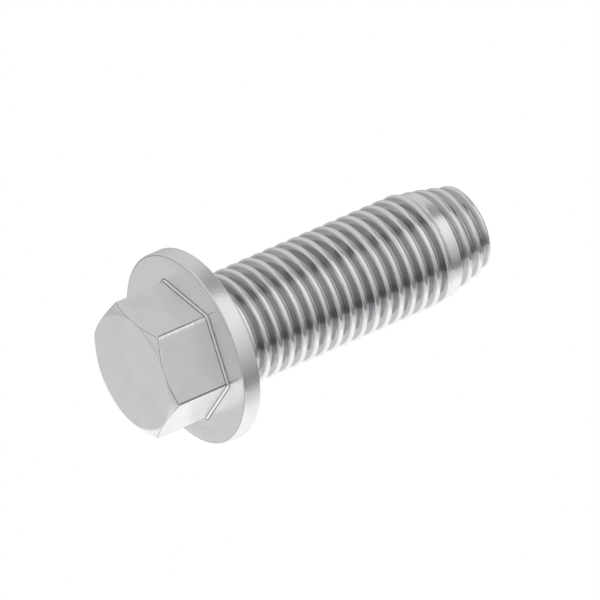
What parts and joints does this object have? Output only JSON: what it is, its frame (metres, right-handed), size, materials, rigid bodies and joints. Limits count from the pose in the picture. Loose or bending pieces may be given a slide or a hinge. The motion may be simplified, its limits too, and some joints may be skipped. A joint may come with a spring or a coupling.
{
  "type": "hex flange self-tapping screw",
  "caption": "One-piece metal screw with a hexagonal head on a round flange, a plain neck, a fine right-hand thread and a narrowed, thread-forming point.",
  "frame": {"origin": "centre of the flat end face of the head, on the screw's axis", "axes": "+Z along the axis from the head to the tip, a corner of the hexagon on +X"},
  "size_m": [0.0136, 0.0136, 0.0274],
  "materials": {
    "plated_steel": "satin bright plating"
  },
  "bodies": {
    "root": {"screw": "plated_steel"}
  },
  "joints": []
}
